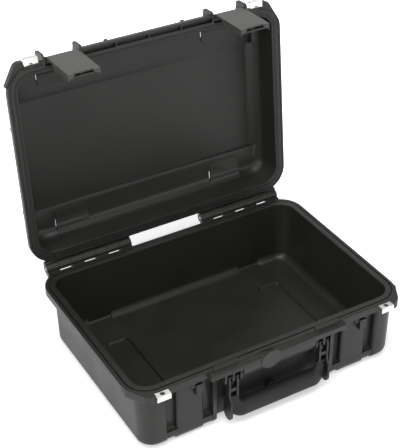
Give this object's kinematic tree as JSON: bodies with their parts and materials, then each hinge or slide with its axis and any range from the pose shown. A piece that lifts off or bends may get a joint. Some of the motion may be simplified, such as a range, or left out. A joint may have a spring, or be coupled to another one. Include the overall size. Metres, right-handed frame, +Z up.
{
  "type": "microphone case",
  "caption": "Hard moulded carrying case with hinged lid, trigger latches, drop handle, rim gasket and steel padlock plates; shown open and empty.",
  "frame": {"origin": "centre of the footprint, on the plane of the feet, at the middle of the round pad on the bottom", "axes": "+Z up; +X to the right seen from the handle side; +Y from the handle side to the hinges"},
  "size_m": [0.465, 0.4315, 0.4588],
  "materials": {
    "moulded_black": "moulded polypropylene, lightly grained",
    "grip_black": "soft overmould",
    "latch_grey": "moulded nylon, satin",
    "gasket_rubber": "solid rubber cord",
    "stainless_steel": "bright pressed stainless"
  },
  "bodies": {
    "case_base": {"base_shell": "moulded_black", "base_lock_plate_left": "stainless_steel", "base_lock_plate_right": "stainless_steel", "hinge_pin_left": "stainless_steel", "hinge_pin_right": "stainless_steel", "valve_body": "latch_grey", "valve_seal": "gasket_rubber", "valve_nut": "latch_grey", "handle_pin_left": "stainless_steel", "handle_pin_right": "stainless_steel"},
    "handle": {"handle_frame": "moulded_black", "handle_grip": "grip_black"},
    "lid": {"lid_shell": "moulded_black", "lid_gasket": "gasket_rubber", "lid_lock_plate_left": "stainless_steel", "lid_lock_plate_right": "stainless_steel", "latch_pin_left": "stainless_steel", "latch_pin_right": "stainless_steel"},
    "left_latch": {"latch_left": "latch_grey"},
    "right_latch": {"latch_right": "latch_grey"},
    "left_trigger": {"latch_trigger_left": "latch_grey", "trigger_spring_left": "stainless_steel"},
    "right_trigger": {"latch_trigger_right": "latch_grey", "trigger_spring_right": "stainless_steel"}
  },
  "joints": [
    {"name": "lid_hinge", "type": "hinge", "parent": "case_base", "child": "lid", "pos_m": [0, 0.1727, 0.11525], "axis": [1, 0, 0], "range_deg": [0, 95.7]},
    {"name": "handle_swing", "type": "hinge", "parent": "case_base", "child": "handle", "pos_m": [0, -0.1635, 0.087], "axis": [-1, 0, 0], "range_deg": [0, 100]},
    {"name": "left_latch_swing", "type": "hinge", "parent": "lid", "child": "left_latch", "pos_m": [-0.141, 0.21485, 0.44339], "axis": [-1, 0, 0], "range_deg": [0, 110]},
    {"name": "left_trigger_pull", "type": "slide", "parent": "left_latch", "child": "left_trigger", "axis": [0, -0.9951, 0.0993], "range_m": [0, 0.003], "stiffness_N_per_m": 300, "springref_m": -0.003},
    {"name": "right_latch_swing", "type": "hinge", "parent": "lid", "child": "right_latch", "pos_m": [0.141, 0.21485, 0.44339], "axis": [-1, 0, 0], "range_deg": [0, 110]},
    {"name": "right_trigger_pull", "type": "slide", "parent": "right_latch", "child": "right_trigger", "axis": [0, -0.9951, 0.0993], "range_m": [0, 0.003], "stiffness_N_per_m": 300, "springref_m": -0.003}
  ]
}
